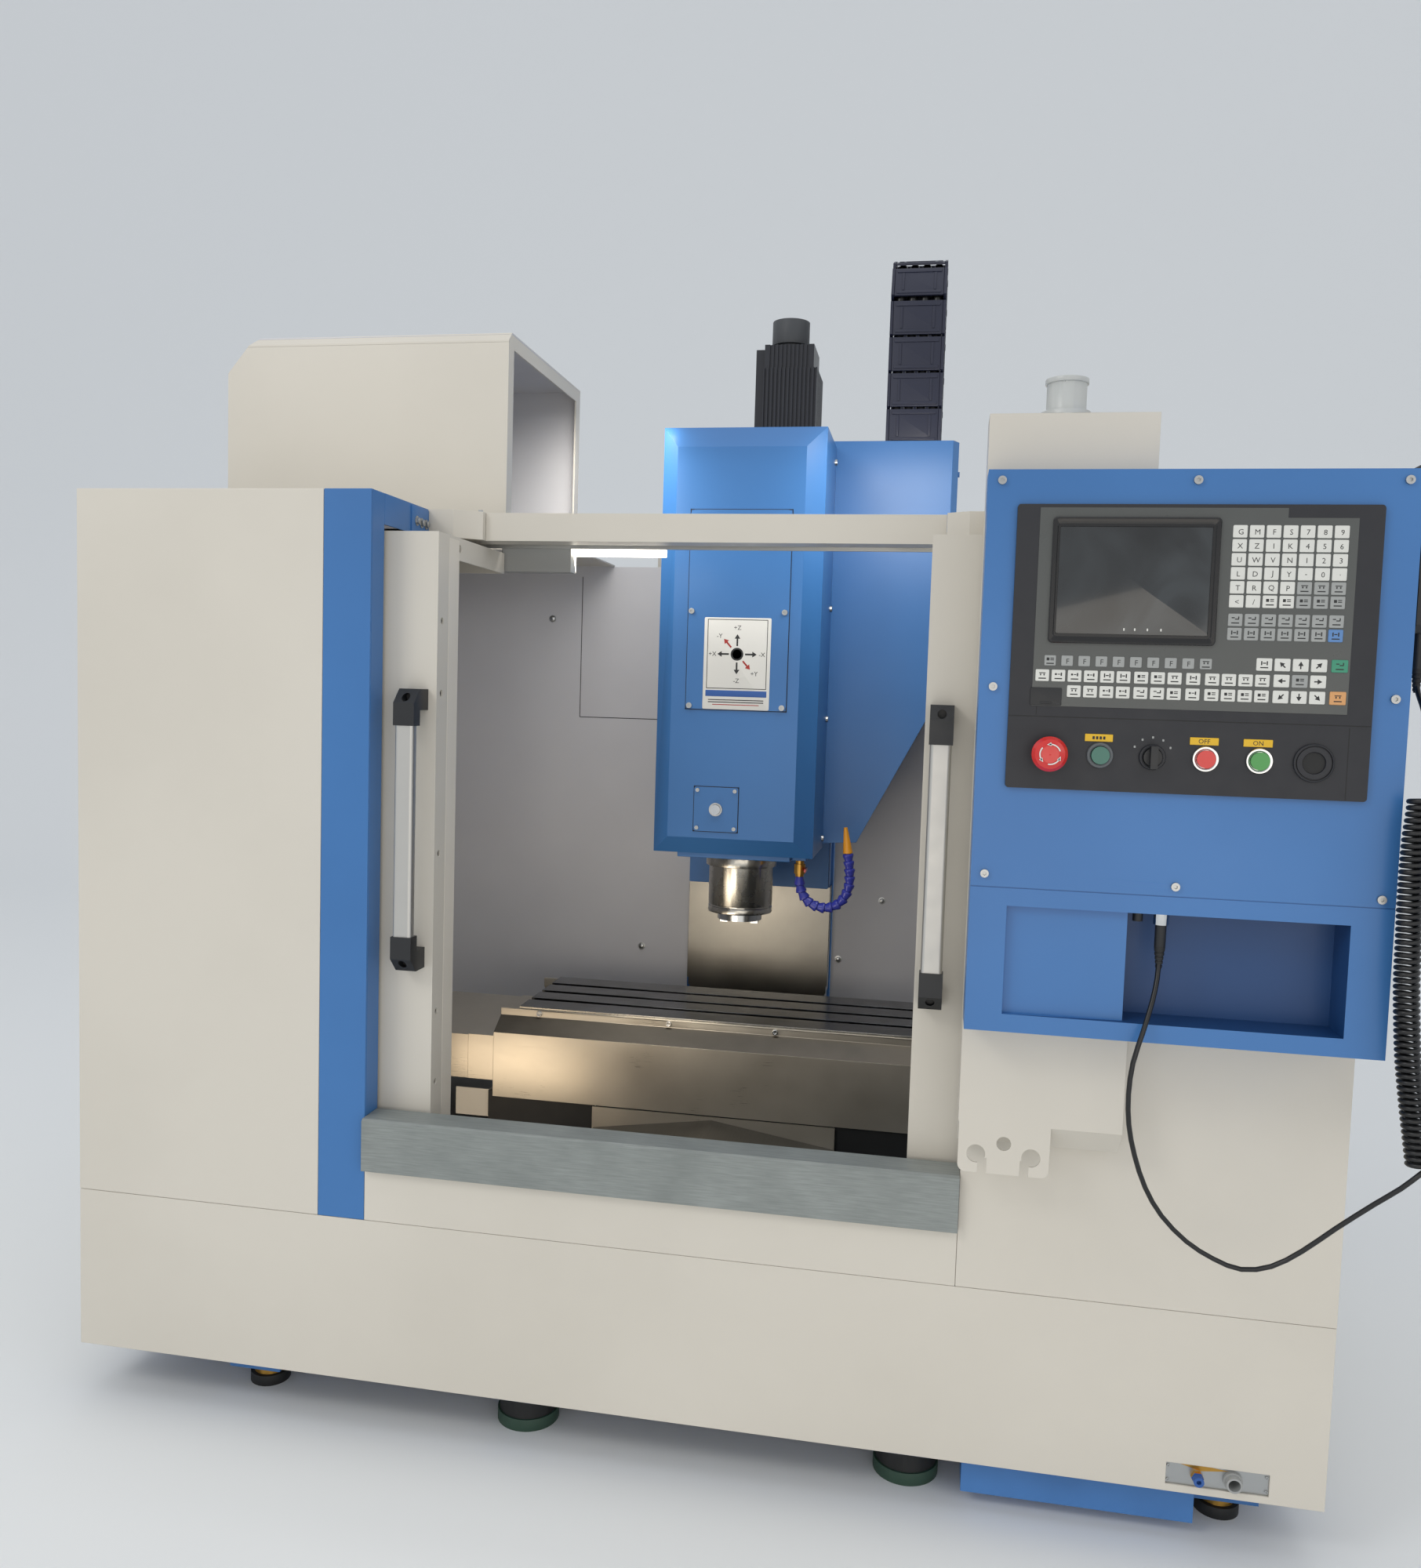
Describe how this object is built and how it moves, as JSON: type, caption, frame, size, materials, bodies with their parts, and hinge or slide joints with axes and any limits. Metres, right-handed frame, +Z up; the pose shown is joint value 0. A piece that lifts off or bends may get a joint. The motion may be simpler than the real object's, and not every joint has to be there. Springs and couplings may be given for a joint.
{
  "type": "cnc machining center",
  "caption": "Vertical machining centre: open-top sheet enclosure with sliding doors, T-slot table on cross slides, spindle head on a column, control box with hand pendant.",
  "frame": {"origin": "middle of the machine's footprint, on the floor", "axes": "+X to the right seen from the front, +Y to the back, +Z up"},
  "size_m": [1.892, 1.702, 1.9565],
  "materials": {
    "cream_paint": "satin",
    "blue_paint": "satin",
    "grey_paint": "satin",
    "steel": "brushed",
    "stainless": "brushed",
    "cast": "matte",
    "black_plastic": "matte",
    "grey_plastic": "matte",
    "white_plastic": "matte",
    "red_plastic": "gloss",
    "teal_plastic": "gloss",
    "green_plastic": "gloss",
    "brass": "satin",
    "hose_plastic": "satin",
    "rubber": "matte"
  },
  "bodies": {
    "frame": {"front_panels": "cream_paint", "blue_post": "blue_paint", "side_back_panels": "cream_paint", "roof_and_header": "cream_paint", "door_sill": "grey_paint", "hood": "cream_paint", "chip_pan": "grey_paint", "door_rails": "steel", "lamp": "white_plastic", "box_pillar": "cream_paint", "control_housing": "blue_paint", "cnc_panel": "black_plastic", "keys_and_bezels": "grey_plastic", "pendant_cord": "rubber", "pendant": "black_plastic", "skirt_fittings": "brass", "bed_casting": "cast", "machine_feet": "blue_paint", "column": "blue_paint", "frame_rails": "steel", "axis_motors": "cast", "fixed_way_covers": "stainless", "electrics": "cream_paint", "coolant_unit": "grey_paint", "lubricator": "white_plastic"},
    "left_door": {"door_left": "cream_paint"},
    "right_door": {"door_right": "cream_paint"},
    "saddle": {"saddle_slide": "cast", "saddle_covers": "stainless"},
    "table": {"table_slide": "cast", "table_covers": "stainless"},
    "left_way_cover": {"x_cover_left": "stainless"},
    "right_way_cover": {"x_cover_right": "stainless"},
    "front_way_cover": {"y_cover_mid": "stainless"},
    "x_screw": {"x_screw": "steel"},
    "y_screw": {"y_screw": "steel"},
    "z_screw": {"z_screw": "steel"},
    "head": {"head_slide": "cast", "head_front_cover": "blue_paint", "head_side_cover": "blue_paint", "spindle_housing": "steel", "spindle_motor": "cast", "coolant_line": "hose_plastic", "cable_chain": "black_plastic", "z_cover_top": "stainless"},
    "upper_column_cover": {"z_cover_upper": "stainless"},
    "lower_column_cover": {"z_cover_lower": "stainless"},
    "spindle": {"spindle_shaft": "steel"},
    "estop": {"estop_button": "red_plastic"},
    "teal_button": {"teal_button": "teal_plastic"},
    "red_button": {"red_button": "red_plastic"},
    "green_button": {"green_button": "green_plastic"},
    "selector": {"selector_knob": "black_plastic"},
    "release_button": {"release_button": "steel"},
    "coolant_lever": {"coolant_lever": "red_plastic"},
    "pendant_wheel": {"pendant_wheel": "grey_plastic"},
    "axis_knob": {"axis_knob": "black_plastic"},
    "step_knob": {"step_knob": "black_plastic"},
    "cabinet_door": {"cabinet_door": "cream_paint"},
    "main_switch": {"main_switch": "red_plastic"}
  },
  "joints": [
    {"name": "left_door_slide", "type": "slide", "parent": "frame", "child": "left_door", "axis": [1, 0, 0], "range_m": [0, 0.345]},
    {"name": "right_door_slide", "type": "slide", "parent": "frame", "child": "right_door", "axis": [-1, 0, 0], "range_m": [0, 0.345]},
    {"name": "y_axis", "type": "slide", "parent": "frame", "child": "saddle", "axis": [0, 1, 0], "range_m": [-0.05, 0.188]},
    {"name": "x_axis", "type": "slide", "parent": "saddle", "child": "table", "axis": [1, 0, 0], "range_m": [-0.217, 0.183]},
    {"name": "z_axis", "type": "slide", "parent": "frame", "child": "head", "axis": [0, 0, 1], "range_m": [-0.05, 0.35], "deforming": ["cable_chain"]},
    {"name": "left_way_cover_slide", "type": "slide", "parent": "saddle", "child": "left_way_cover", "axis": [1, 0, 0], "range_m": [-0.11, 0.093]},
    {"name": "right_way_cover_slide", "type": "slide", "parent": "saddle", "child": "right_way_cover", "axis": [1, 0, 0], "range_m": [-0.11, 0.093]},
    {"name": "front_way_cover_slide", "type": "slide", "parent": "frame", "child": "front_way_cover", "axis": [0, 1, 0], "range_m": [-0.026, 0.095]},
    {"name": "upper_column_cover_slide", "type": "slide", "parent": "frame", "child": "upper_column_cover", "axis": [0, 0, 1], "range_m": [-0.034, 0.234]},
    {"name": "lower_column_cover_slide", "type": "slide", "parent": "frame", "child": "lower_column_cover", "axis": [0, 0, 1], "range_m": [-0.017, 0.117]},
    {"name": "x_screw_turn", "type": "hinge", "parent": "saddle", "child": "x_screw", "pos_m": [0, -0.069, 0.42], "axis": [1, 0, 0], "continuous": true},
    {"name": "y_screw_turn", "type": "hinge", "parent": "frame", "child": "y_screw", "pos_m": [0, 0, 0.296], "axis": [0, 1, 0], "continuous": true},
    {"name": "z_screw_turn", "type": "hinge", "parent": "frame", "child": "z_screw", "pos_m": [0, 0.32, 0.8], "axis": [0, 0, 1], "continuous": true},
    {"name": "spindle_turn", "type": "hinge", "parent": "head", "child": "spindle", "pos_m": [0, 0.012, 0.8], "axis": [0, 0, 1], "continuous": true},
    {"name": "estop_press", "type": "slide", "parent": "frame", "child": "estop", "axis": [0, 1, 0], "range_m": [0, 0.004], "stiffness_N_per_m": 600},
    {"name": "teal_button_press", "type": "slide", "parent": "frame", "child": "teal_button", "axis": [0, 1, 0], "range_m": [0, 0.004], "stiffness_N_per_m": 600},
    {"name": "red_button_press", "type": "slide", "parent": "frame", "child": "red_button", "axis": [0, 1, 0], "range_m": [0, 0.004], "stiffness_N_per_m": 600},
    {"name": "green_button_press", "type": "slide", "parent": "frame", "child": "green_button", "axis": [0, 1, 0], "range_m": [0, 0.004], "stiffness_N_per_m": 600},
    {"name": "selector_turn", "type": "hinge", "parent": "frame", "child": "selector", "pos_m": [0.6082, -0.82, 1.038], "axis": [0, 1, 0], "range_deg": [-45, 45]},
    {"name": "release_press", "type": "slide", "parent": "head", "child": "release_button", "axis": [0, 1, 0], "range_m": [0, 0.003], "stiffness_N_per_m": 600},
    {"name": "coolant_lever_turn", "type": "hinge", "parent": "head", "child": "coolant_lever", "pos_m": [0.118, -0.042, 0.779], "axis": [1, 0, 0], "range_deg": [0, 90]},
    {"name": "pendant_wheel_turn", "type": "hinge", "parent": "frame", "child": "pendant_wheel", "pos_m": [0.907, -0.757, 1.24], "axis": [1, 0, 0], "continuous": true},
    {"name": "axis_knob_turn", "type": "hinge", "parent": "frame", "child": "axis_knob", "pos_m": [0.907, -0.777, 1.33], "axis": [1, 0, 0], "range_deg": [-60, 60]},
    {"name": "step_knob_turn", "type": "hinge", "parent": "frame", "child": "step_knob", "pos_m": [0.907, -0.737, 1.33], "axis": [1, 0, 0], "range_deg": [-40, 40]},
    {"name": "cabinet_door_swing", "type": "hinge", "parent": "frame", "child": "cabinet_door", "pos_m": [-0.327, 0.837, 0.9], "axis": [0, 0, 1], "range_deg": [0, 110]},
    {"name": "main_switch_turn", "type": "hinge", "parent": "frame", "child": "main_switch", "pos_m": [0.32, 0.718, 1.2], "axis": [1, 0, 0], "range_deg": [0, 90]}
  ],
  "couplings": [
    {"joint": "left_way_cover_slide", "follows": "x_axis", "ratio": 0.5},
    {"joint": "right_way_cover_slide", "follows": "x_axis", "ratio": 0.5},
    {"joint": "front_way_cover_slide", "follows": "y_axis", "ratio": 0.5},
    {"joint": "upper_column_cover_slide", "follows": "z_axis", "ratio": 0.66667},
    {"joint": "lower_column_cover_slide", "follows": "z_axis", "ratio": 0.33333},
    {"joint": "x_screw_turn", "follows": "x_axis", "rad_per_m": 628.32},
    {"joint": "y_screw_turn", "follows": "y_axis", "rad_per_m": 628.32},
    {"joint": "z_screw_turn", "follows": "z_axis", "rad_per_m": 628.32}
  ]
}
